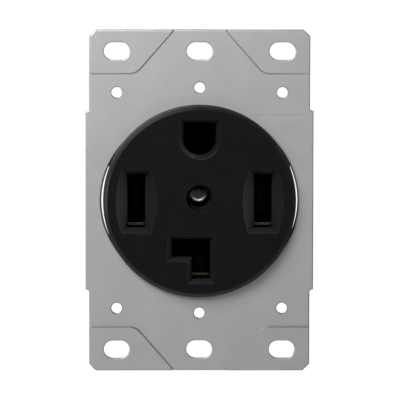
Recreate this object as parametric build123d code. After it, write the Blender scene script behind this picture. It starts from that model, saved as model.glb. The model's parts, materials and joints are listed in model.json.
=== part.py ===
from build123d import *

import os

# Flush receptacle with four blade openings, on a two-gang steel strap: a round face in front of
# the strap, a moulded body behind it, and four contacts that each lead to a box terminal.
# X is to the right, Z is up, and the front looks towards -Y. The origin is the middle of the four
# corner slots, on the plane where the strap's pads rest. All lengths are in millimetres.

# Strap, pressed from one sheet, with corner pads that stand forward of its middle
strap_thickness = 1.3
strap_height = 95.25
strap_width = 63.5
strap_wide_height = 50.0
strap_end_inset = 1.0
strap_corner_chamfer = 1.9
strap_notch_radius = 0.7
strap_edge_roll = 0.4
hole_edge_roll = 0.6
slot_edge_roll = 0.3
pad_rise = 0.5
pad_wall_run = 0.45
pad_edge_z = 35.4
pad_corner_x = 17.7
pad_corner_radius = 4.0
pad_top_x = 7.0
slot_pitch_x = 46.04
slot_pitch_z = 83.34
slot_length = 7.2
slot_width = 4.9
plate_hole_pitch_z = 60.3
middle_hole_pitch_z = 63.0
plate_hole_radius = 1.5
plate_hole_break = 0.25
strap_hole_radius = 26.0
strap_hole_reach = 27.3
strap_hole_side_radius = 23.3
strap_hole_blend = 6.0
gauge_inner_x = 16.2
gauge_outer_x = 29.6
gauge_z = 23.5
gauge_width = 1.0
gauge_depth = 0.12

# Face cover
face_radius = 26.85
face_height = 4.3
rim_bevel_width = 1.2
rim_bevel_depth = 2.2
plug_clearance = 0.2
boss_radius = 5.0
centre_z = 0.95
centre_mouth_radius = 3.85
centre_mouth_depth = 4.6
centre_bore_radius = 2.95

# Blade openings, seen from the front
hot_slot_x = 17.6
hot_slot_width = 4.95
hot_slot_height = 15.0
hot_mouth_end_width = 8.05
hot_mouth_waist_width = 11.4
hot_mouth_height = 17.6
hot_mouth_depth = 3.4
mouth_border = 1.15
mouth_depth = 2.4
ground_slot_width = 8.97
ground_slot_top = 21.9
ground_slot_bottom = 12.95
neutral_slot_left = -7.7
neutral_slot_right = 2.9
neutral_slot_top = -10.6
neutral_slot_bottom = -21.7
neutral_slot_leg = 4.98

# Rear body
body_width = 50.4
body_height = 50.4
body_back = 28.0
body_corner = 4.0
body_back_chamfer = 1.0
body_draft = 0.6
body_floor = 3.0
flange_thickness = 3.0
flange_step = 0.9
side_rib_width = 1.2
side_rib_pitch = 8.5
side_rib_count = 5
back_rib_height = 0.6
back_rib_width = 1.2
collar_wall = 1.2
chamber_half_width = 3.9
chamber_end_gap = 0.3
chamber_back_gap = 1.0
boss_clearance = 0.2
channel_gap = 0.3

# Contacts, folded from one sheet
contact_sheet = 0.7
contact_front = 6.3
contact_back = 16.0
jaw_pinch_y = 10.0
jaw_straight_y = 12.0
jaw_flare = 3.05
jaw_pinch = 1.5
jaw_rest = 1.95
ground_jaw_widening = 1.65
hot_jaw_top = 6.5
neutral_long_jaw_top = -12.0
neutral_short_jaw_top = -16.4
ground_jaw_bottom = 14.2
arm_front = 12.2
arm_back = 15.6
arm_bend = 0.8
arm_lap = 1.6
hot_x_arm_start = 7.2
hot_y_arm_start = 8.4
tongue_half_height = 3.3
tongue_back = 24.4

# Steel springs that back up the contacts
spring_sheet = 0.6
spring_gap = 0.1
spring_low = -5.0
spring_high = 3.0
neutral_spring_low = -20.6
neutral_spring_high = -17.0

# Box terminals
lug_z = 17.5
lug_inner_x = 11.4
lug_front = 16.0
lug_half_height = 4.7
lug_wall = 1.2
lug_thread_wall = 2.2
lug_corner = 0.8
wire_gap = 5.0
part_gap = 0.05
plate_thickness = 1.0
plate_gap = 0.1
plate_end_gap = 0.4
plate_side_gap = 0.2
pocket_gap = 0.1
wire_hole_radius = 3.2
wire_funnel_radius = 4.2
wire_funnel_depth = 1.6

# Terminal screws
screw_radius = 2.4
screw_bore_radius = 2.45
screw_travel = 4.0
screw_head_radius = 3.5
screw_head_height = 2.4
screw_head_chamfer = 0.4
screw_slot_width = 1.2
screw_slot_depth = 1.2
screw_window_gap = 0.2

# Centre screw, which draws the face and the body together
centre_screw_radius = 2.9
centre_screw_tip = 14.9
centre_screw_cup = 0.45
centre_screw_cup_rim = 0.35
centre_head_radius = 4.9
centre_head_height = 2.3
centre_head_chamfer = 0.5
centre_drive_depth = 1.4
washer_radius = 5.3
washer_thickness = 0.6
washer_hole_radius = 3.1
head_recess_gap = 0.3
boss_end_gap = 0.2

# Bonding clip from the ground terminal to the strap
clip_sheet = 0.6
clip_left = 16.8
clip_right = 20.6
clip_foot_z = 16.0
clip_foot_gap = 0.15
clip_leg_z = 21.2
clip_tip_z = 23.8
clip_tip_gap = 0.06

# Strap outline that follows
strap_end_width = strap_width - 2 * strap_end_inset

# Depths that follow
pad_back = 0.0
pad_front = pad_back - strap_thickness
strap_front = pad_front + pad_rise
strap_back = pad_back + pad_rise
face_front = strap_front - face_height
body_front = strap_back
plug_radius = strap_hole_radius - plug_clearance
pocket_back = body_back - body_floor
body_back_face = body_back - back_rib_height
chamber_back = contact_back + chamber_back_gap
boss_end = pocket_back - body_floor - boss_end_gap

# Box terminal places that follow, on the right-hand side
tongue_x = lug_inner_x + lug_wall + part_gap + contact_sheet / 2
wire_low_x = tongue_x + contact_sheet / 2
plate_inner_x = wire_low_x + wire_gap
plate_outer_x = plate_inner_x + plate_thickness
lug_thread_x = plate_outer_x + plate_gap
lug_outer_x = lug_thread_x + lug_thread_wall
wire_x = wire_low_x + wire_gap / 2
screw_y = (lug_front + pocket_back) / 2
head_inner_x = lug_outer_x + part_gap + screw_travel

# Contact places that follow
neutral_x = neutral_slot_right - neutral_slot_leg / 2
hot_web_bottom = -hot_slot_height / 2
ground_web_top = ground_slot_top

# Each terminal's side, right being +1, and its level, up being +1
terminals = {
    "hot_x": (-1, 1),
    "hot_y": (1, -1),
    "neutral": (-1, -1),
    "ground": (1, 1),
}


def front_view(y):
    """The plane at depth y for a sketch drawn as seen from the front."""
    return Plane.XZ.offset(-y)


def prism(sketch, y_front, y_back):
    """A front-view sketch made solid between two depths."""
    return extrude(front_view(y_back) * sketch, y_back - y_front)


def block(x_range, y_range, z_range):
    """A box between two limits on each axis."""
    sizes = [high - low for low, high in (x_range, y_range, z_range)]
    middle = [(high + low) / 2 for low, high in (x_range, y_range, z_range)]
    return Pos(*middle) * Box(*sizes)


def span(a, b):
    """Two limits in rising order."""
    return min(a, b), max(a, b)


def rod_x(radius, x_range, y, z):
    """A cylinder along X."""
    low, high = span(*x_range)
    return Pos((low + high) / 2, y, z) * Rot(0, 90, 0) * Cylinder(radius, high - low)


def turned_y(points, x, z):
    """A turned piece from points of radius and depth, about an axis along Y."""
    half = make_face(Polyline(*points, close=True))
    return Pos(x, 0, z) * revolve(half, Axis.Y)


def bent_strip(points, thickness, bend=arm_bend):
    """The section of a bent sheet whose middle follows the points."""
    return trace(FilletPolyline(*points, radius=bend), line_width=thickness)


def tapered(outline_front, y_front, outline_back, y_back):
    """A solid between two like outlines at two depths."""
    return loft([front_view(y_front) * outline_front, front_view(y_back) * outline_back], ruled=True)


def corner_pad(border):
    """One corner pad's outline, grown by a border; it runs past the strap's own edge."""
    over = strap_width
    beyond_x = 2 * pad_top_x - pad_corner_x
    beyond_z = strap_height - pad_edge_z
    points = [(over, pad_edge_z), (pad_corner_x, pad_edge_z), (beyond_x, beyond_z), (over, beyond_z)]
    pad = make_face(Polyline(*points, close=True))
    bend = pad.vertices().sort_by_distance((pad_corner_x, pad_edge_z, 0))[0]
    pad = fillet(bend, pad_corner_radius)
    return offset(pad, amount=border, kind=Kind.INTERSECTION)


def four_corners(shape):
    """A shape and its mirror images to the left, below, and both."""
    pair = shape + mirror(shape, about=Plane.YZ)
    return pair + mirror(pair, about=Plane.XY)


def strap_outline():
    """The strap's outer edge: wide in the middle, narrower ends, cut corners."""
    ends = Rectangle(strap_end_width, strap_height)
    ends = chamfer(ends.vertices(), strap_corner_chamfer)
    outline = ends + Rectangle(strap_width, strap_wide_height)
    inner = [
        corner
        for corner in outline.vertices()
        if abs(abs(corner.X) - strap_end_width / 2) < 0.01
        and abs(abs(corner.Y) - strap_wide_height / 2) < 0.01
    ]
    return fillet(inner, strap_notch_radius)


def strap_opening():
    """The round hole behind the face, bulged to both sides."""
    side_x = strap_hole_reach - strap_hole_side_radius
    bulges = [Pos(side * side_x, 0) * Circle(strap_hole_side_radius) for side in (-1, 1)]
    opening = Circle(strap_hole_radius) + bulges
    return fillet(opening.vertices(), strap_hole_blend)


def plate_hole_places():
    """The tapped holes for cover plates."""
    outer = [
        (side * slot_pitch_x / 2, level * plate_hole_pitch_z / 2) for side in (-1, 1) for level in (-1, 1)
    ]
    return outer + [(0, level * middle_hole_pitch_z / 2) for level in (-1, 1)]


def slot_grid():
    """Each mounting slot's column and level: two-gang at the sides, one-gang in the middle."""
    return [(column, level) for column in (-1, 0, 1) for level in (-1, 1)]


def mounting_slots():
    """The six slots, with their length along X."""
    slot = SlotOverall(slot_length, slot_width)
    places = [(column * slot_pitch_x / 2, level * slot_pitch_z / 2) for column, level in slot_grid()]
    return Sketch() + [Pos(x, z) * slot for x, z in places]


def front_rim(blank):
    """The edges where the blank's sides meet what faces forward."""
    sides = [face for face in blank.faces() if abs(face.normal_at().Y) < 0.01]
    fronts = [face for face in blank.faces() if face.normal_at().Y < -0.1]
    side_edges = [edge for face in sides for edge in face.edges()]
    front_edges = [edge for face in fronts for edge in face.edges()]
    return [edge for edge in side_edges if any(edge.is_same(other) for other in front_edges)]


def opening_rim(solid, x, z, reach_x, reach_z, y):
    """The edges at depth y that lie within a reach of an opening's middle."""
    rim = []
    for edge in solid.edges():
        box = edge.bounding_box()
        level = abs(box.min.Y - y) < 0.01 and abs(box.max.Y - y) < 0.01
        beside = abs(box.min.X - x) < reach_x and abs(box.max.X - x) < reach_x
        above = abs(box.min.Z - z) < reach_z and abs(box.max.Z - z) < reach_z
        if level and beside and above:
            rim.append(edge)
    return rim


def make_strap():
    """The pressed strap with its pads, slots, tapped holes and stamped gauge bar."""
    outline = strap_outline()
    whole = prism(outline, pad_front, strap_back)
    half_run = pad_wall_run / 2
    back_pocket = tapered(corner_pad(-half_run), pad_back, corner_pad(half_run), strap_back)
    pads = tapered(corner_pad(-half_run), pad_front, corner_pad(half_run), strap_front)
    raised = whole & four_corners(pads)
    strap = prism(outline, strap_front, strap_back) - four_corners(back_pocket) + raised
    strap = fillet(front_rim(strap), strap_edge_roll)
    strap -= prism(strap_opening() + mounting_slots(), pad_front, strap_back)
    reach = slot_edge_roll
    hole_x = strap_hole_reach + reach
    hole_z = strap_hole_radius + reach
    strap = fillet(opening_rim(strap, 0, 0, hole_x, hole_z, strap_front), hole_edge_roll)
    for column, level in slot_grid():
        y = strap_front if column == 0 else pad_front
        x = column * slot_pitch_x / 2
        z = level * slot_pitch_z / 2
        rim = opening_rim(strap, x, z, slot_length / 2 + reach, slot_width / 2 + reach, y)
        strap = fillet(rim, slot_edge_roll)
    for x, z in plate_hole_places():
        hole = Pos(x, z) * Circle(plate_hole_radius)
        mouth = Pos(x, z) * Circle(plate_hole_radius + plate_hole_break)
        strap -= prism(hole, pad_front, strap_back)
        strap -= tapered(mouth, strap_front, hole, strap_front + plate_hole_break)
    gauge_x = (gauge_inner_x + gauge_outer_x) / 2
    gauge = Pos(gauge_x, gauge_z) * Rectangle(gauge_outer_x - gauge_inner_x, gauge_width)
    return strap - prism(gauge, strap_front, strap_front + gauge_depth)


def barrel(end_width, waist_width, height):
    """A blade opening's outline with straight ends and sides that may bow out."""
    top = height / 2
    edge = end_width / 2
    waist = waist_width / 2
    if waist_width > end_width:
        right = ThreePointArc((edge, -top), (waist, 0), (edge, top))
        left = ThreePointArc((-edge, top), (-waist, 0), (-edge, -top))
    else:
        right = Line((edge, -top), (edge, top))
        left = Line((-edge, top), (-edge, -top))
    return make_face([right, Line((edge, top), (-edge, top)), left, Line((-edge, -top), (edge, -top))])


def ground_slot():
    """The ground opening's outline: flat at the top and half round below."""
    radius = ground_slot_width / 2
    middle = ground_slot_bottom + radius
    round_end = ThreePointArc((-radius, middle), (0, ground_slot_bottom), (radius, middle))
    corners = [(radius, ground_slot_top), (-radius, ground_slot_top)]
    straight = Polyline((radius, middle), *corners, (-radius, middle))
    return make_face([round_end, straight])


def neutral_slot():
    """The L-shaped opening's outline."""
    points = [
        (neutral_slot_left, neutral_slot_top),
        (neutral_slot_right, neutral_slot_top),
        (neutral_slot_right, neutral_slot_bottom),
        (neutral_slot_right - neutral_slot_leg, neutral_slot_bottom),
        (neutral_slot_right - neutral_slot_leg, neutral_slot_top - neutral_slot_leg),
        (neutral_slot_left, neutral_slot_top - neutral_slot_leg),
    ]
    return make_face(Polyline(*points, close=True))


def blade_opening(slot):
    """A straight opening through the face with a sloped mouth all round."""
    mouth = offset(slot, amount=mouth_border, kind=Kind.INTERSECTION)
    return prism(slot, face_front, body_front) + tapered(mouth, face_front, slot, face_front + mouth_depth)


def hot_opening(side):
    """A hot blade's opening, with a barrel-shaped mouth that narrows to the slot."""
    slot = barrel(hot_slot_width, hot_slot_width, hot_slot_height)
    mouth = barrel(hot_mouth_end_width, hot_mouth_waist_width, hot_mouth_height)
    opening = prism(slot, face_front, body_front)
    opening += tapered(mouth, face_front, slot, face_front + hot_mouth_depth)
    return Pos(side * hot_slot_x, 0, 0) * opening


def make_face_cover():
    """The round face, its plug through the strap, and its long boss for the centre screw."""
    profile = [
        (0, face_front),
        (face_radius - rim_bevel_width, face_front),
        (face_radius, face_front + rim_bevel_depth),
        (face_radius, strap_front),
        (plug_radius, strap_front),
        (plug_radius, body_front),
        (0, body_front),
    ]
    boss = [(0, face_front), (boss_radius, face_front), (boss_radius, boss_end), (0, boss_end)]
    cover = turned_y(profile, 0, 0) + turned_y(boss, 0, centre_z)
    cover -= blade_opening(ground_slot()) + blade_opening(neutral_slot())
    cover -= hot_opening(-1) + hot_opening(1)
    bore = [
        (0, face_front),
        (centre_mouth_radius, face_front),
        (centre_mouth_radius, face_front + centre_mouth_depth),
        (centre_bore_radius, face_front + centre_mouth_depth),
        (centre_bore_radius, boss_end),
        (0, boss_end),
    ]
    return cover - turned_y(bore, 0, centre_z)


def lug_pocket(side, level):
    """The room for a box terminal, open to the front."""
    x_range = span(side * (lug_inner_x - pocket_gap), side * (lug_outer_x + pocket_gap))
    low = level * lug_z - lug_half_height - pocket_gap
    high = level * lug_z + lug_half_height + pocket_gap
    return block(x_range, (body_front, pocket_back), (low, high))


def wire_entry(side, level):
    """A hole in the back for the wire, with a funnel mouth."""
    points = [
        (0, pocket_back),
        (wire_hole_radius, pocket_back),
        (wire_hole_radius, body_back - wire_funnel_depth),
        (wire_funnel_radius, body_back),
        (0, body_back),
    ]
    return turned_y(points, side * wire_x, level * lug_z)


def screw_window(side, level):
    """A hole in the side wall for a terminal screw's head."""
    x_range = (side * lug_outer_x, side * body_width)
    return rod_x(screw_head_radius + screw_window_gap, x_range, screw_y, level * lug_z)


def chambers():
    """The rooms for the four contacts, open to the front."""
    depth = (body_front, chamber_back)
    hot_low = hot_web_bottom - chamber_end_gap
    hot_high = hot_slot_height / 2 + chamber_end_gap
    rooms = [
        block((x - chamber_half_width, x + chamber_half_width), depth, (hot_low, hot_high))
        for x in (-hot_slot_x, hot_slot_x)
    ]
    neutral_low = neutral_slot_bottom - chamber_end_gap
    neutral_high = neutral_slot_top + chamber_end_gap
    leg_low = neutral_slot_top - neutral_slot_leg - chamber_end_gap
    x_range = (neutral_x - chamber_half_width, neutral_x + chamber_half_width)
    rooms.append(block(x_range, depth, (neutral_low, neutral_high)))
    rooms.append(block((neutral_slot_left - chamber_end_gap, neutral_x), depth, (leg_low, neutral_high)))
    ground_half = chamber_half_width + ground_jaw_widening
    ground_low = ground_slot_bottom - chamber_end_gap
    rooms.append(block((-ground_half, ground_half), depth, (ground_low, ground_slot_top + chamber_end_gap)))
    return rooms


def arm_channels():
    """The passages from each contact's room to its terminal's room."""
    depth = (body_front, arm_back + channel_gap)
    half = contact_sheet / 2 + channel_gap
    pocket_inner = lug_inner_x
    pocket_edge = lug_z - lug_half_height
    jaw_x = hot_slot_x - jaw_rest
    return [
        block((-jaw_x - half, -tongue_x + half), depth, (0, pocket_edge)),
        block((tongue_x - half, jaw_x + half), depth, (-pocket_edge, 0)),
        block((0, pocket_inner), depth, (ground_arm_z() - half, ground_arm_z() + half)),
        block((-pocket_inner, 0), depth, (neutral_arm_z() - half, neutral_arm_z() + half)),
    ]


def ground_arm_z():
    """The height of the ground contact's sideways arm."""
    return ground_jaw_bottom - contact_sheet / 2


def neutral_arm_z():
    """The height of the neutral contact's sideways arm."""
    return neutral_slot_bottom + contact_sheet / 2


def side_ribs():
    """Stiffening ribs along the body's four sides, as proud as its flange."""
    depth = (body_front, body_back_face - body_back_chamfer)
    half = side_rib_width / 2
    ribs = []
    for number in range(side_rib_count):
        place = (number - (side_rib_count - 1) / 2) * side_rib_pitch
        ribs.append(block((place - half, place + half), depth, (-body_height / 2, body_height / 2)))
        if abs(place) + half < lug_z - screw_head_radius - screw_window_gap:
            ribs.append(block((-body_width / 2, body_width / 2), depth, (place - half, place + half)))
    return ribs


def back_ribs():
    """Raised ribs on the back, and the collars of the wire entries and the centre screw that they join."""
    depth = (body_back_face - back_rib_height, body_back)
    half = back_rib_width / 2
    ribs = [block((-wire_x, wire_x), depth, (z - half, z + half)) for z in (-lug_z, centre_z, lug_z)]
    ribs += [block((x - half, x + half), depth, (-lug_z, lug_z)) for x in (-wire_x, 0, wire_x)]
    wire_collar = wire_funnel_radius + collar_wall
    centre_collar = washer_radius + head_recess_gap + collar_wall
    collars = [(wire_collar, side * wire_x, level * lug_z) for side, level in terminals.values()]
    for radius, x, z in collars + [(centre_collar, 0, centre_z)]:
        ribs.append(turned_y([(0, depth[0]), (radius, depth[0]), (radius, depth[1]), (0, depth[1])], x, z))
    return ribs


def make_rear_body():
    """The moulded body behind the strap."""
    back_plane = Plane(origin=(0, body_front, 0), x_dir=(1, 0, 0), z_dir=(0, 1, 0))
    wide = chamfer(Rectangle(body_width, body_height).vertices(), body_corner)
    step = 2 * flange_step
    narrow = chamfer(Rectangle(body_width - step, body_height - step).vertices(), body_corner)
    body = extrude(back_plane * narrow, body_back_face - body_front, taper=body_draft)
    body = chamfer(body.faces().sort_by(Axis.Y)[-1].edges(), body_back_chamfer)
    body += side_ribs() + back_ribs()
    body += extrude(back_plane * wide, flange_thickness)
    for side, level in terminals.values():
        body -= lug_pocket(side, level) + wire_entry(side, level) + screw_window(side, level)
    body -= chambers() + arm_channels()
    hole_radius = boss_radius + boss_clearance
    recess_radius = washer_radius + head_recess_gap
    well = [
        (0, body_front),
        (hole_radius, body_front),
        (hole_radius, boss_end + boss_end_gap),
        (washer_hole_radius, boss_end + boss_end_gap),
        (washer_hole_radius, pocket_back),
        (recess_radius, pocket_back),
        (recess_radius, body_back),
        (0, body_back),
    ]
    body -= turned_y(well, 0, centre_z)
    tip_low = lug_z + lug_half_height
    tip_high = clip_tip_z + clip_sheet
    tip_depth = clip_sheet + clip_tip_gap + channel_gap
    x_range = (clip_left - channel_gap, clip_right + channel_gap)
    return body - block(x_range, (body_front, body_front + tip_depth), (tip_low, tip_high))


def jaw(x, turn, widening, low, high):
    """One springy wall of a contact: flared at the front, pinched, then straight."""
    points = [
        (x + turn * (jaw_flare + widening), contact_front),
        (x + turn * (jaw_pinch + widening), jaw_pinch_y),
        (x + turn * (jaw_rest + widening), jaw_straight_y),
        (x + turn * (jaw_rest + widening), contact_back),
    ]
    section = bent_strip(points, contact_sheet)
    return extrude(Plane.XY.offset(low) * section, high - low)


def web(x, widening, low):
    """The floor that joins a contact's two walls."""
    half = jaw_rest + widening + contact_sheet / 2
    return block((x - half, x + half), (contact_front, contact_back), (low, low + contact_sheet))


def arm(points):
    """A bent arm, drawn from the front, from a contact to its terminal."""
    return prism(bent_strip(points, contact_sheet), arm_front, arm_back)


def tongue(side, level):
    """The flat end that lies inside the box terminal."""
    x_range = (side * tongue_x - contact_sheet / 2, side * tongue_x + contact_sheet / 2)
    z_range = (level * lug_z - tongue_half_height, level * lug_z + tongue_half_height)
    return block(x_range, (arm_front, tongue_back), z_range)


def hot_jaws(x):
    """The part of a hot contact that grips the blade: two walls and the floor between."""
    walls = [jaw(x, turn, 0, hot_web_bottom, hot_jaw_top) for turn in (-1, 1)]
    return web(x, 0, hot_web_bottom) + walls


def make_hot_x_contact():
    """Left hot contact, whose arm goes up."""
    jaw_x = -hot_slot_x + jaw_rest
    shift = abs(-tongue_x - jaw_x)
    points = [
        (jaw_x, hot_jaw_top - arm_lap),
        (jaw_x, hot_x_arm_start),
        (-tongue_x, hot_x_arm_start + shift),
        (-tongue_x, lug_z + tongue_half_height),
    ]
    return hot_jaws(-hot_slot_x) + arm(points) + tongue(*terminals["hot_x"])


def make_hot_y_contact():
    """Right hot contact, whose arm goes down."""
    jaw_x = hot_slot_x - jaw_rest
    shift = abs(tongue_x - jaw_x)
    points = [
        (jaw_x, hot_web_bottom + arm_lap),
        (jaw_x, -hot_y_arm_start),
        (tongue_x, -hot_y_arm_start - shift),
        (tongue_x, -lug_z - tongue_half_height),
    ]
    return hot_jaws(hot_slot_x) + arm(points) + tongue(*terminals["hot_y"])


def make_neutral_contact():
    """Contact behind the upright leg of the L, whose arm goes left."""
    contact = jaw(neutral_x, 1, 0, neutral_slot_bottom, neutral_long_jaw_top)
    contact += jaw(neutral_x, -1, 0, neutral_slot_bottom, neutral_short_jaw_top)
    contact += web(neutral_x, 0, neutral_slot_bottom)
    points = [
        (neutral_x, neutral_arm_z()),
        (-tongue_x, neutral_arm_z()),
        (-tongue_x, -lug_z + tongue_half_height),
    ]
    return contact + arm(points) + tongue(*terminals["neutral"])


def make_ground_contact():
    """Contact behind the ground opening, closed at the top, whose arm goes right."""
    contact = jaw(0, 1, ground_jaw_widening, ground_jaw_bottom, ground_web_top)
    contact += jaw(0, -1, ground_jaw_widening, ground_jaw_bottom, ground_web_top)
    contact += web(0, ground_jaw_widening, ground_web_top - contact_sheet)
    jaw_x = jaw_rest + ground_jaw_widening
    points = [
        (jaw_x, ground_jaw_bottom + arm_lap),
        (jaw_x, ground_arm_z()),
        (tongue_x, ground_arm_z()),
        (tongue_x, lug_z + tongue_half_height),
    ]
    return contact + arm(points) + tongue(*terminals["ground"])


def make_spring(x, low, high):
    """A steel clip round the back of a contact that presses its walls together."""
    out = contact_sheet / 2 + spring_gap + spring_sheet / 2
    back = contact_back + spring_gap + spring_sheet / 2
    grip_x = (jaw_pinch + jaw_rest) / 2 + out
    grip_y = (jaw_pinch_y + jaw_straight_y) / 2
    right = [(grip_x, grip_y), (jaw_rest + out, jaw_straight_y), (jaw_rest + out, back)]
    left = [(-across, depth) for across, depth in reversed(right)]
    section = Pos(x, 0) * bent_strip(right + left, spring_sheet, spring_sheet)
    return extrude(Plane.XY.offset(low) * section, high - low)


def make_lug(side, level):
    """A box terminal: a square tube along Y, tapped through its thick outer wall."""
    z = level * lug_z
    middle_x = (lug_inner_x + lug_outer_x) / 2
    outer = Pos(middle_x, z) * Rectangle(lug_outer_x - lug_inner_x, lug_half_height * 2)
    outer = fillet(outer.vertices(), lug_corner)
    room_x = (lug_inner_x + lug_wall + lug_thread_x) / 2
    room_width = lug_thread_x - lug_inner_x - lug_wall
    room = Pos(room_x, z) * Rectangle(room_width, (lug_half_height - lug_wall) * 2)
    lug = prism(outer - room, lug_front, pocket_back)
    lug -= rod_x(screw_bore_radius, (lug_thread_x - lug_wall, lug_outer_x + lug_wall), screw_y, z)
    return lug if side > 0 else mirror(lug, about=Plane.YZ)


def make_clamp_plate(side, level):
    """The plate that the screw presses on the wire."""
    z = level * lug_z
    half = lug_half_height - lug_wall - plate_side_gap
    x_range = span(side * plate_inner_x, side * plate_outer_x)
    plate = block(x_range, (lug_front + plate_end_gap, pocket_back - plate_end_gap), (z - half, z + half))
    groove_x = plate_inner_x - plate_thickness / 2
    return plate - rod_y(plate_thickness, (lug_front, pocket_back), side * groove_x, z)


def rod_y(radius, y_range, x, z):
    """A cylinder along Y."""
    low, high = y_range
    return Pos(x, (low + high) / 2, z) * Rot(90, 0, 0) * Cylinder(radius, high - low)


def make_terminal_screw(side, level):
    """A slotted terminal screw, drawn fully backed out."""
    z = level * lug_z
    head_outer = head_inner_x + screw_head_height
    screw = rod_x(screw_radius, (plate_outer_x, head_inner_x), screw_y, z)
    head = rod_x(screw_head_radius, (head_inner_x, head_outer), screw_y, z)
    rim = head.edges().filter_by(GeomType.CIRCLE).sort_by(Axis.X)[-1]
    head = chamfer(rim, screw_head_chamfer)
    slot_x = (head_outer - screw_slot_depth, head_outer)
    slot_y = (screw_y - screw_head_radius, screw_y + screw_head_radius)
    slot_z = (z - screw_slot_width / 2, z + screw_slot_width / 2)
    screw += head - block(slot_x, slot_y, slot_z)
    return screw if side > 0 else mirror(screw, about=Plane.YZ)


def make_centre_screw():
    """The long screw from the back, whose cupped tip shows down the face's centre hole."""
    head_front = pocket_back + washer_thickness
    head_back = head_front + centre_head_height
    cup_radius = centre_screw_radius - centre_screw_cup_rim
    profile = [
        (0, centre_screw_tip + centre_screw_cup),
        (cup_radius, centre_screw_tip),
        (centre_screw_radius, centre_screw_tip),
        (centre_screw_radius, head_front),
        (centre_head_radius, head_front),
        (centre_head_radius, head_back - centre_head_chamfer),
        (centre_head_radius - centre_head_chamfer, head_back),
        (0, head_back),
    ]
    screw = turned_y(profile, 0, centre_z)
    drive = Pos(0, centre_z) * Rectangle(centre_head_radius * 2, screw_slot_width)
    return screw - prism(drive, head_back - centre_drive_depth, head_back)


def make_washer():
    """The flat washer under the centre screw's head."""
    profile = [
        (washer_hole_radius, pocket_back),
        (washer_radius, pocket_back),
        (washer_radius, pocket_back + washer_thickness),
        (washer_hole_radius, pocket_back + washer_thickness),
    ]
    return turned_y(profile, 0, centre_z)


def make_bonding_clip():
    """The strip that carries the strap's bond to the ground terminal."""
    foot_y = lug_front - clip_foot_gap - clip_sheet / 2
    tip_y = strap_back + clip_tip_gap + clip_sheet / 2
    points = [(foot_y, clip_foot_z), (foot_y, clip_leg_z), (tip_y, clip_leg_z), (tip_y, clip_tip_z)]
    section = bent_strip(points, clip_sheet)
    return extrude(Plane.YZ.offset(clip_left) * section, clip_right - clip_left)


def all_parts():
    """Every piece by name."""
    parts = {
        "mounting_strap": make_strap(),
        "face_cover": make_face_cover(),
        "rear_body": make_rear_body(),
        "hot_x_contact": make_hot_x_contact(),
        "hot_y_contact": make_hot_y_contact(),
        "neutral_contact": make_neutral_contact(),
        "ground_contact": make_ground_contact(),
        "hot_x_spring": make_spring(-hot_slot_x, spring_low, spring_high),
        "hot_y_spring": make_spring(hot_slot_x, spring_low, spring_high),
        "neutral_spring": make_spring(neutral_x, neutral_spring_low, neutral_spring_high),
        "bonding_clip": make_bonding_clip(),
        "centre_screw": make_centre_screw(),
        "centre_washer": make_washer(),
    }
    for name, (side, level) in terminals.items():
        parts[name + "_lug"] = make_lug(side, level)
        parts[name + "_clamp_plate"] = make_clamp_plate(side, level)
        parts[name + "_terminal_screw"] = make_terminal_screw(side, level)
    return parts


os.makedirs("parts", exist_ok=True)
for node, solid in all_parts().items():
    export_step(solid, f"parts/{node}.step")
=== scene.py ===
import json
import math

import bmesh
import bpy
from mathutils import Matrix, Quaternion, Vector


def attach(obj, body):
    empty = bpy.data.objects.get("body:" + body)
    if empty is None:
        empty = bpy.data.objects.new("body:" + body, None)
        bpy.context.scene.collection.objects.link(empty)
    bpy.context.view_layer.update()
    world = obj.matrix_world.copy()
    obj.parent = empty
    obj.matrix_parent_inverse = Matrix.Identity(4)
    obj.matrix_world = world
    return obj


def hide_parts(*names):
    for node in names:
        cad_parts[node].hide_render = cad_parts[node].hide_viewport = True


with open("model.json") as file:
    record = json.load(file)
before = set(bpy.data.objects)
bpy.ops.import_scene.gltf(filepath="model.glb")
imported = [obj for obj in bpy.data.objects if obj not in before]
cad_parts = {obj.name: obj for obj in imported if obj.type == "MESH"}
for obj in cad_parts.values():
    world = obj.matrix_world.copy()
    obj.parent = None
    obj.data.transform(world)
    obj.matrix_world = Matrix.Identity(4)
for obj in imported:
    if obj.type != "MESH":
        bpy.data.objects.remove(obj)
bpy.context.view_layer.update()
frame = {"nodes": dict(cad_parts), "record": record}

# Looks of a flush receptacle on a steel strap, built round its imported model.
# Everything is in metres: X to the right, Z up, and the front looks towards -Y.
MM = 0.001

# Camera: the photograph's view, from slightly above and slightly to the left
VIEW_AZIMUTH = -1.1
VIEW_ELEVATION = 5.5
VIEW_ROLL = 0.11
VIEW_DISTANCE = 1.3
VIEW_WIDTH = 111.34 * MM
VIEW_TARGET = Vector((0.15, -0.8, 0.16)) * MM
VIEW_REACH = 20
SENSOR_WIDTH = 36.0

# The surround's strength where the camera sees it: just over white. It lights nothing.
SURROUND_STRENGTH = 1.02

# The floor lies below what the camera sees
FLOOR_SIDE = 1.2
FLOOR_DROP = 0.30

# Places where a material changes, each over a short distance
BLEND = 0.5 * MM
# The mouths round the face's openings lie within this radius, and the face's outer bevel outside it
MOUTHS_RADIUS = 24.2 * MM
# The body's chambers, which are seen through the openings and are painted dark as shade, lie in front
# of this depth
CHAMBERS_BACK = 17.4 * MM
# The contacts' jaws and floors, painted near black there as shade, lie between these depths, behind
# the contacts' front edges
JAWS_FRONT = 7.6 * MM
JAWS_BACK = 16.2 * MM
# The strap's left outer edge, which is kept out of the painted shade on the lower edges and stays
# bright, lies to the left of this
STRAP_LEFT_EDGE = -30.2 * MM
STRAP_BLEND = 0.4 * MM

# The size of the grain in plated and rolled metal
METAL_GRAIN = 0.15 * MM

# Each mesh: corners closer than this are joined, flatter edges than this are dissolved, and edges
# sharper than this are broken
WELD_DISTANCE = 0.002 * MM
FLAT_ANGLE = math.radians(0.3)
SHARP_ANGLE = math.radians(32)
EDGE_BREAK = 0.12 * MM
MARGIN = 0.02 * MM

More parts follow.
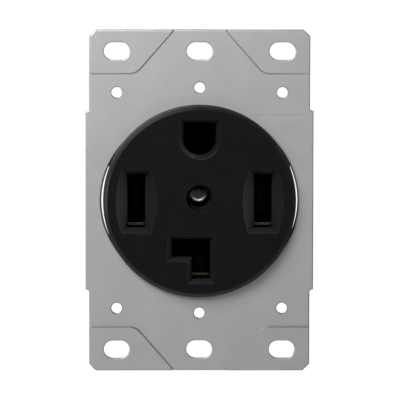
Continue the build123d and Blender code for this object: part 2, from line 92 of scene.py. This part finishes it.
# Terminal screws, whose thread is cut here: rows of points for each turn, and points round a row
SCREW_RADIUS = 2.4 * MM
SCREW_HEAD_HEIGHT = 2.4 * MM
THREAD_PITCH = 0.8 * MM
THREAD_DEPTH = 0.36 * MM
THREAD_CREST = 0.15
SCREW_POINT = 0.6 * MM
THREAD_ROWS = 10
THREAD_STEPS = 36

# The centre screw's cupped tip: its dish is given by insets from the cup's edge and depths
CENTRE_HEIGHT = 0.95 * MM
TIP_CUP_RADIUS = 2.55 * MM
TIP_CUP_DEPTH = 0.45 * MM
TIP_DISH = [
    (0.06 * MM, 0.04 * MM),
    (0.16 * MM, 0.075 * MM),
    (0.34 * MM, 0.10 * MM),
    (0.6 * MM, 0.11 * MM),
]


def make_camera():
    """A long lens whose frame is VIEW_WIDTH wide at the strap."""
    data = bpy.data.cameras.new("camera")
    data.sensor_width = SENSOR_WIDTH
    data.lens = SENSOR_WIDTH * VIEW_DISTANCE / VIEW_WIDTH
    data.clip_end = VIEW_REACH
    camera = bpy.data.objects.new("camera", data)
    azimuth = math.radians(VIEW_AZIMUTH)
    elevation = math.radians(VIEW_ELEVATION)
    back = Vector(
        (
            math.sin(azimuth) * math.cos(elevation),
            -math.cos(azimuth) * math.cos(elevation),
            math.sin(elevation),
        )
    )
    camera.location = VIEW_TARGET + back * VIEW_DISTANCE
    camera.rotation_mode = "QUATERNION"
    turn = Quaternion(back, math.radians(VIEW_ROLL))
    camera.rotation_quaternion = turn @ (-back).to_track_quat("-Z", "Y")
    bpy.context.scene.collection.objects.link(camera)
    bpy.context.scene.camera = camera


def area_light(name, place, size, power):
    """A rectangular soft light at a place, turned towards the origin."""
    data = bpy.data.lights.new(name, "AREA")
    data.shape = "RECTANGLE"
    data.size, data.size_y = size
    data.energy = power
    light = bpy.data.objects.new(name, data)
    light.location = place
    light.rotation_mode = "QUATERNION"
    light.rotation_quaternion = (-place).to_track_quat("-Z", "Y")
    bpy.context.scene.collection.objects.link(light)


def from_front(tilt, turn, distance):
    """A place at a distance from the object, tilted from its front axis, turned from +X to +Z."""
    across = math.sin(math.radians(tilt))
    return distance * Vector(
        (
            across * math.cos(math.radians(turn)),
            -math.cos(math.radians(tilt)),
            across * math.sin(math.radians(turn)),
        )
    )


# Each light's tilt from the front axis and turn from +X towards +Z in degrees,
# its distance, width and height in metres, and its power in watts
LIGHTS = {
    "key": (42, 126, 0.66, 0.36, 0.36, 4.28),
    "front_fill": (9, 90, 1.2, 0.42, 0.1, 0.42),
    "side_fill_right": (72, 20, 0.8, 0.36, 0.36, 0.6),
    "edge_right": (93, 0, 0.8, 0.36, 0.36, 0.4),
    "rim_left": (125, 180, 0.8, 0.36, 0.36, 2.0),
    "back_fill": (160, 135, 1.2, 0.6, 0.6, 6.0),
    "back_right": (140, 0, 1.0, 0.5, 0.5, 2.5),
}


def make_lights():
    """A key light from the upper left, weak fill in front and at the sides, and light from behind."""
    for name, (tilt, turn, distance, width, height, power) in LIGHTS.items():
        area_light(name, from_front(tilt, turn, distance), (width, height), power)


def make_world():
    """A surround that shows white to the camera and gives no light."""
    world = bpy.data.worlds.new("surround")
    bpy.context.scene.world = world
    world.use_nodes = True
    tree = world.node_tree
    tree.nodes.clear()
    light_path = tree.nodes.new("ShaderNodeLightPath")
    unlit = tree.nodes.new("ShaderNodeBackground")
    unlit.inputs["Strength"].default_value = 0.0
    seen = tree.nodes.new("ShaderNodeBackground")
    seen.inputs["Color"].default_value = (1, 1, 1, 1)
    seen.inputs["Strength"].default_value = SURROUND_STRENGTH
    mix = tree.nodes.new("ShaderNodeMixShader")
    out = tree.nodes.new("ShaderNodeOutputWorld")
    tree.links.new(light_path.outputs["Is Camera Ray"], mix.inputs["Fac"])
    tree.links.new(unlit.outputs["Background"], mix.inputs[1])
    tree.links.new(seen.outputs["Background"], mix.inputs[2])
    tree.links.new(mix.outputs["Shader"], out.inputs["Surface"])


class Material:
    """A material under construction: its tree, its shader and short ways to add nodes."""

    def __init__(self, name):
        self.data = bpy.data.materials.new(name)
        self.data.use_nodes = True
        self.tree = self.data.node_tree
        self.shader = self.tree.nodes["Principled BSDF"]
        self.place = self.add("ShaderNodeTexCoord").outputs["Object"]

    def add(self, kind, **settings):
        """A new node in the material's tree."""
        node = self.tree.nodes.new(kind)
        for key, value in settings.items():
            setattr(node, key, value)
        return node

    def link(self, source, target):
        """Joins an output to an input."""
        self.tree.links.new(source, target)

    def noise(self, size, detail=3.0, roughness=0.5):
        """Noise whose features are about size metres across."""
        node = self.add("ShaderNodeTexNoise")
        node.inputs["Scale"].default_value = 1 / size
        node.inputs["Detail"].default_value = detail
        node.inputs["Roughness"].default_value = roughness
        self.link(self.place, node.inputs["Vector"])
        return node.outputs["Fac"]

    def ramp(self, source, stops):
        """A colour ramp from positions to greys or colours."""
        node = self.add("ShaderNodeValToRGB")
        ramp = node.color_ramp
        while len(ramp.elements) < len(stops):
            ramp.elements.new(0.5)
        for element, (position, colour) in zip(ramp.elements, stops):
            element.position = position
            red_green_blue = colour if hasattr(colour, "__len__") else (colour, colour, colour)
            element.color = (*red_green_blue, 1)
        self.link(source, node.inputs["Fac"])
        return node.outputs["Color"]

    def spread(self, source, low, high, start=0.3, end=0.7):
        """A number from low to high as the source goes from start to end."""
        node = self.add("ShaderNodeMapRange")
        node.inputs["From Min"].default_value = start
        node.inputs["From Max"].default_value = end
        node.inputs["To Min"].default_value = low
        node.inputs["To Max"].default_value = high
        self.link(source, node.inputs["Value"])
        return node.outputs["Result"]

    def above(self, source, start, end):
        """0 where the source is under start, and 1 where it is over end."""
        return self.spread(source, 0, 1, start, end)

    def below(self, source, start, end):
        """1 where the source is under start, and 0 where it is over end."""
        return self.spread(source, 1, 0, start, end)

    def facing(self, axis="Y"):
        """How far a face turns towards +X, +Y or +Z: along Y, -1 is the front and 0 is a side wall."""
        split = self.add("ShaderNodeSeparateXYZ")
        self.link(self.add("ShaderNodeTexCoord").outputs["Normal"], split.inputs["Vector"])
        return split.outputs[axis]

    def along(self, axis):
        """A point's place along the piece's own X, Y or Z."""
        split = self.add("ShaderNodeSeparateXYZ")
        self.link(self.place, split.inputs["Vector"])
        return split.outputs[axis]

    def near_openings(self):
        """1 as near to the Y axis as the openings are, and 0 further out."""
        flat = self.add("ShaderNodeCombineXYZ")
        self.link(self.along("X"), flat.inputs["X"])
        self.link(self.along("Z"), flat.inputs["Z"])
        length = self.add("ShaderNodeVectorMath", operation="LENGTH")
        self.link(flat.outputs["Vector"], length.inputs[0])
        return self.below(length.outputs["Value"], MOUTHS_RADIUS, MOUTHS_RADIUS + BLEND)

    def mixed(self, colour, grey, factor):
        """A colour that goes over to a grey as the factor goes from 0 to 1."""
        node = self.add("ShaderNodeMix", data_type="RGBA")
        node.inputs["B"].default_value = (grey, grey, grey, 1)
        self.link(colour, node.inputs["A"])
        self.link(factor, node.inputs["Factor"])
        return node.outputs["Result"]

    def product(self, first, second):
        """Two values multiplied."""
        node = self.add("ShaderNodeMath", operation="MULTIPLY")
        self.link(first, node.inputs[0])
        self.link(second, node.inputs[1])
        return node.outputs[0]

    def bump(self, heights):
        """Bump from (height, depth in metres) pairs, one after another."""
        normal = None
        for height, depth in heights:
            node = self.add("ShaderNodeBump")
            node.inputs["Strength"].default_value = 1.0
            node.inputs["Distance"].default_value = depth
            self.link(height, node.inputs["Height"])
            if normal is not None:
                self.link(normal, node.inputs["Normal"])
            normal = node.outputs["Normal"]
        self.link(normal, self.shader.inputs["Normal"])

    def set(self, **values):
        """Constants on the shader's own sockets; underscores stand for spaces."""
        for key, value in values.items():
            self.shader.inputs[key.replace("_", " ")].default_value = value


def galvanised_steel():
    """Satin zinc-coated sheet with a fine grain, and painted shade that darkens its walls and edges in
    its lower half.
    """
    m = Material("galvanised_steel")
    m.set(Metallic=1.0)
    cloud = m.noise(9 * MM, detail=4)
    grain = m.noise(0.22 * MM, detail=2)
    facing = m.facing()
    pressed = m.product(m.above(facing, -0.99, -0.9), m.below(facing, 0.2, 0.4))
    inner = m.above(m.along("X"), STRAP_LEFT_EDGE, STRAP_LEFT_EDGE + STRAP_BLEND)
    lower = m.below(m.along("Z"), -1 * MM, 1 * MM)
    # Painted shade: the strap's walls and edges in its lower half, but for its left outer edge, are
    # made darker
    painted_shade = m.product(pressed, m.product(inner, lower))
    colour = m.ramp(cloud, [(0.3, 0.60), (0.7, 0.64)])
    m.link(m.mixed(colour, 0.40, painted_shade), m.shader.inputs["Base Color"])
    m.link(m.spread(grain, 0.49, 0.57), m.shader.inputs["Roughness"])
    m.bump([(grain, 0.004 * MM), (cloud, 0.01 * MM)])
    return m.data


def black_plastic(name, grey, rough, grain_depth, shine):
    """Black moulded plastic with a fine grain: the material under construction, and its colour."""
    m = Material(name)
    grain = m.noise(0.28 * MM, detail=3, roughness=0.6)
    cloud = m.noise(6 * MM)
    m.set(Specular_IOR_Level=shine)
    m.link(m.spread(grain, rough - 0.03, rough + 0.03), m.shader.inputs["Roughness"])
    m.bump([(grain, grain_depth)])
    return m, m.ramp(cloud, [(0.3, grey * 0.9), (0.7, grey * 1.15)])


def face_plastic():
    """The face's black, with painted light that greys the openings' slopes, more where they face
    right, and without shine on their walls.
    """
    shine = 0.15
    m, colour = black_plastic("face_plastic", 0.0063, 0.36, 0.035 * MM, shine)
    near = m.near_openings()
    facing = m.facing()
    aside = m.facing("X")
    slope = m.product(m.product(m.above(facing, -0.93, -0.85), m.below(facing, -0.25, -0.15)), near)
    wall = m.product(m.above(facing, -0.2, -0.1), near)
    # Painted light: the openings' slopes are made greyer than the face
    colour = m.mixed(colour, 0.025, slope)
    # More painted light where the slopes face right, and less where they face left
    colour = m.mixed(colour, 0.05, m.product(slope, m.above(aside, 0.15, 0.3)))
    colour = m.mixed(colour, 0.016, m.product(slope, m.below(aside, -0.3, -0.15)))
    m.link(colour, m.shader.inputs["Base Color"])
    m.link(m.spread(wall, shine, 0, 0, 1), m.shader.inputs["Specular IOR Level"])
    return m.data


def body_plastic():
    """The body's black, with painted shade that makes the chambers behind the blade openings near
    black and without shine.
    """
    shine = 0.4
    m, colour = black_plastic("body_plastic", 0.02, 0.42, 0.014 * MM, shine)
    ahead = m.below(m.along("Y"), CHAMBERS_BACK, CHAMBERS_BACK + BLEND)
    painted_shade_chamber = m.product(m.near_openings(), ahead)
    # Painted shade: the chambers are made near black and lose their shine
    m.link(m.mixed(colour, 0.002, painted_shade_chamber), m.shader.inputs["Base Color"])
    m.link(m.spread(painted_shade_chamber, shine, 0, 0, 1), m.shader.inputs["Specular IOR Level"])
    return m.data


def plated_metal(name, colour, rough):
    """Plated or rolled metal with slight tarnish and grain."""
    m = Material(name)
    m.set(Metallic=1.0)
    cloud = m.noise(2.5 * MM, detail=4)
    grain = m.noise(METAL_GRAIN, detail=2)
    darker = [c * 0.86 for c in colour]
    m.link(m.ramp(cloud, [(0.35, darker), (0.65, colour)]), m.shader.inputs["Base Color"])
    m.link(m.spread(grain, rough - 0.02, rough + 0.02), m.shader.inputs["Roughness"])
    m.bump([(grain, 0.0003 * MM)])
    return m.data


def contact_brass():
    """Rolled brass sheet, painted near black as shade within the jaws, so that it shows bright only at
    its front edges and on its tongues.
    """
    m = Material("contact_brass")
    m.set(Metallic=1.0)
    cloud = m.noise(2.5 * MM, detail=4)
    colour = m.ramp(cloud, [(0.35, (0.84, 0.68, 0.42)), (0.65, (0.95, 0.78, 0.50))])
    depth = m.along("Y")
    painted_shade_in_jaws = m.product(
        m.above(depth, JAWS_FRONT, JAWS_FRONT + 2 * BLEND),
        m.below(depth, JAWS_BACK, JAWS_BACK + BLEND),
    )
    # Painted shade: the brass is made near black within the jaws
    m.link(m.mixed(colour, 0.004, painted_shade_in_jaws), m.shader.inputs["Base Color"])
    m.link(m.spread(m.noise(METAL_GRAIN, detail=2), 0.17, 0.21), m.shader.inputs["Roughness"])
    return m.data


def green_coat():
    """Green-dyed coat over a steel screw, thin enough to shine."""
    m = Material("green_screw")
    m.set(Metallic=0.75)
    cloud = m.noise(1.2 * MM, detail=4)
    greens = [(0.3, (0.012, 0.16, 0.05)), (0.7, (0.02, 0.26, 0.08))]
    m.link(m.ramp(cloud, greens), m.shader.inputs["Base Color"])
    m.link(m.spread(cloud, 0.26, 0.4), m.shader.inputs["Roughness"])
    m.bump([(m.noise(0.2 * MM), 0.001 * MM)])
    return m.data


# Each plated or rolled metal's colour and roughness
METALS = {
    # spring_steel's near-black colour is painted shade for the springs, which are seen only deep in
    # the slots
    "spring_steel": ((0.012, 0.012, 0.014), 0.45),
    "clip_bronze": ((0.72, 0.45, 0.26), 0.3),
    "plated_screw_steel": ((0.66, 0.65, 0.61), 0.21),
    "plated_lug": ((0.70, 0.69, 0.66), 0.34),
    "brass_screw": ((0.83, 0.66, 0.36), 0.26),
    "nickel_screw": ((0.74, 0.73, 0.70), 0.22),
}
MATERIALS = {name: plated_metal(name, colour, rough) for name, (colour, rough) in METALS.items()}
MATERIALS["galvanised_steel"] = galvanised_steel()
MATERIALS["face_plastic"] = face_plastic()
MATERIALS["body_plastic"] = body_plastic()
MATERIALS["contact_brass"] = contact_brass()
MATERIALS["green_screw"] = green_coat()
SLOT_OF = {part["node"]: part["material_slot"] for part in frame["record"]["subparts"]}
BODY_OF = {
    node: body for body, nodes in frame["record"]["behaviour"]["bodies"].items() for node in nodes
}


def remove_faces(work, is_gone):
    """Takes away the faces whose corners all pass a test, with what only they used."""
    gone = [face for face in work.faces if all(is_gone(vert.co) for vert in face.verts)]
    bmesh.ops.delete(work, geom=gone, context="FACES")


def dish_the_tip(work):
    """Turns the centre screw's cup into a shallow dish with a rounded rim and a flat floor."""

    def radius(co):
        return math.hypot(co.x, co.z - CENTRE_HEIGHT)

    tip = min(vert.co.y for vert in work.verts)
    reach = TIP_CUP_RADIUS + MARGIN
    floor = tip + TIP_CUP_DEPTH + MARGIN
    remove_faces(work, lambda co: radius(co) < reach and co.y < floor)
    rim = [vert for vert in work.verts if vert.is_boundary]
    rim.sort(key=lambda vert: math.atan2(vert.co.z - CENTRE_HEIGHT, vert.co.x))
    for inset, depth in TIP_DISH:
        scale = 1 - inset / TIP_CUP_RADIUS
        ring = []
        for vert in rim:
            z = CENTRE_HEIGHT + (vert.co.z - CENTRE_HEIGHT) * scale
            ring.append(work.verts.new((vert.co.x * scale, tip + depth, z)))
        for i in range(len(rim)):
            work.faces.new((rim[i - 1], rim[i], ring[i], ring[i - 1]))
        rim = ring
    work.faces.new(rim)
    bmesh.ops.recalc_face_normals(work, faces=work.faces)


def cut_thread(work):
    """Swaps a terminal screw's plain shank for one with a rolled thread, within the same radius."""
    low = Vector([min(v.co[i] for v in work.verts) for i in range(3)])
    high = Vector([max(v.co[i] for v in work.verts) for i in range(3)])
    middle = (low + high) / 2
    side = 1 if middle.x > 0 else -1
    tip = low.x if side > 0 else high.x
    shank = high.x - low.x - SCREW_HEAD_HEIGHT

    def on_shank(co):
        off_axis = math.hypot(co.y - middle.y, co.z - middle.z)
        return off_axis < SCREW_RADIUS + MARGIN and abs(co.x - tip) < shank + MARGIN

    remove_faces(work, on_shank)
    rows = round(shank / THREAD_PITCH * THREAD_ROWS)
    rings = []
    for row in range(rows + 1):
        along = shank * row / rows
        fade = min(1.0, (shank - along) / THREAD_PITCH)
        ring = []
        for step in range(THREAD_STEPS):
            turn = 2 * math.pi * step / THREAD_STEPS
            phase = (along / THREAD_PITCH + turn / (2 * math.pi)) % 1.0
            slope = (1 + THREAD_CREST) * (1 - abs(2 * phase - 1)) - THREAD_CREST
            groove = THREAD_DEPTH * fade * max(0.0, slope)
            radius = min(SCREW_RADIUS - groove, SCREW_RADIUS - SCREW_POINT + along)
            y = middle.y + radius * math.cos(turn)
            z = middle.z + radius * math.sin(turn)
            ring.append(work.verts.new((tip + side * along, y, z)))
        rings.append(ring)
    for inner, outer in zip(rings, rings[1:]):
        for i in range(THREAD_STEPS):
            work.faces.new((inner[i - 1], inner[i], outer[i], outer[i - 1]))
    work.faces.new(rings[0])
    bmesh.ops.recalc_face_normals(work, faces=work.faces)


def refined(node, bevel):
    """A copy of a node's mesh that stands for the node, with its edges softened by a bevel."""
    source = frame["nodes"][node]
    mesh = source.data.copy()
    mesh.materials.clear()
    mesh.materials.append(MATERIALS[SLOT_OF[node]])
    work = bmesh.new()
    work.from_mesh(mesh)
    bmesh.ops.remove_doubles(work, verts=work.verts, dist=WELD_DISTANCE)
    bmesh.ops.dissolve_limit(work, angle_limit=FLAT_ANGLE, verts=work.verts, edges=work.edges)
    if node == "centre_screw":
        dish_the_tip(work)
    if node.endswith("_terminal_screw"):
        cut_thread(work)
    for edge in work.edges:
        edge.smooth = not (edge.is_manifold and edge.calc_face_angle(0) > SHARP_ANGLE)
    for face in work.faces:
        face.smooth = True
    work.to_mesh(mesh)
    work.free()
    mesh.name = node + "_looks"
    piece = bpy.data.objects.new(node + "_looks", mesh)
    bpy.context.scene.collection.objects.link(piece)
    if bevel:
        soft = piece.modifiers.new("soft_edges", "BEVEL")
        soft.width = bevel
        soft.segments = 2
        soft.limit_method = "ANGLE"
        soft.angle_limit = SHARP_ANGLE
        soft.use_clamp_overlap = True
    shade = piece.modifiers.new("flat_faces_stay_flat", "WEIGHTED_NORMAL")
    shade.mode = "FACE_AREA"
    shade.keep_sharp = True
    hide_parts(node)
    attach(piece, BODY_OF[node])


def dress_nodes():
    """Every node with its material, and with broken edges but for the threaded screws."""
    for node in frame["nodes"]:
        refined(node, bevel=0 if node.endswith("_terminal_screw") else EDGE_BREAK)


def make_floor():
    """A plain pale floor, well below the object."""
    half = FLOOR_SIDE / 2
    corners = [(-half, -half), (half, -half), (half, half), (-half, half)]
    mesh = bpy.data.meshes.new("floor")
    mesh.from_pydata([(x, y, -FLOOR_DROP) for x, y in corners], [], [(0, 1, 2, 3)])
    m = Material("pale_floor")
    m.set(Roughness=0.8)
    m.link(m.ramp(m.noise(0.08, detail=4), [(0.3, 0.84), (0.7, 0.87)]), m.shader.inputs["Base Color"])
    mesh.materials.append(m.data)
    floor = bpy.data.objects.new("floor", mesh)
    bpy.context.scene.collection.objects.link(floor)


bpy.context.scene.view_settings.view_transform = "Standard"
make_world()
make_lights()
make_camera()
make_floor()
dress_nodes()
